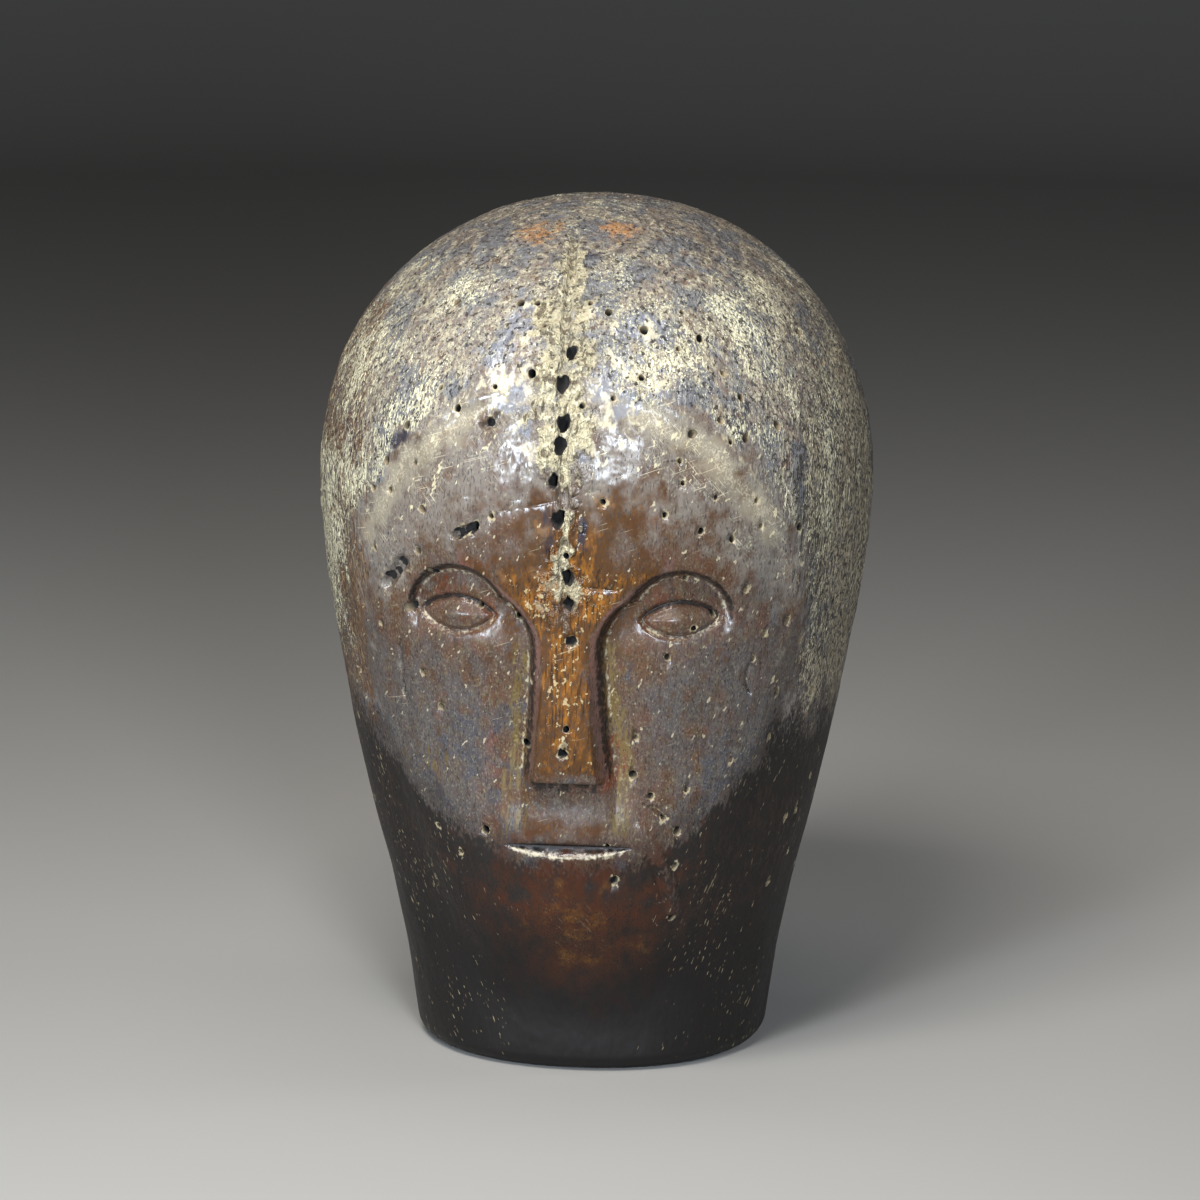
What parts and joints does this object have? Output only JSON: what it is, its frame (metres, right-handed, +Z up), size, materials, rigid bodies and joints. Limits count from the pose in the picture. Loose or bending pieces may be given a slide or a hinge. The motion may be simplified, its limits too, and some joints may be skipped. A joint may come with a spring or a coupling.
{
  "type": "carved wooden head",
  "caption": "Carved hardwood head with a domed skull, a low-relief face and an old split, standing on a flat-cut neck.",
  "frame": {"origin": "middle of the flat underside of the neck", "axes": "+Z up through the crown, the face looks along -Y, +X towards the viewer's right when facing it"},
  "size_m": [0.155, 0.1658, 0.24],
  "materials": {
    "patinated_hardwood": "old handled hardwood, dark brown, satin, with pale worn flecks and beetle holes"
  },
  "bodies": {
    "root": {"carved_head": "patinated_hardwood"}
  },
  "joints": []
}
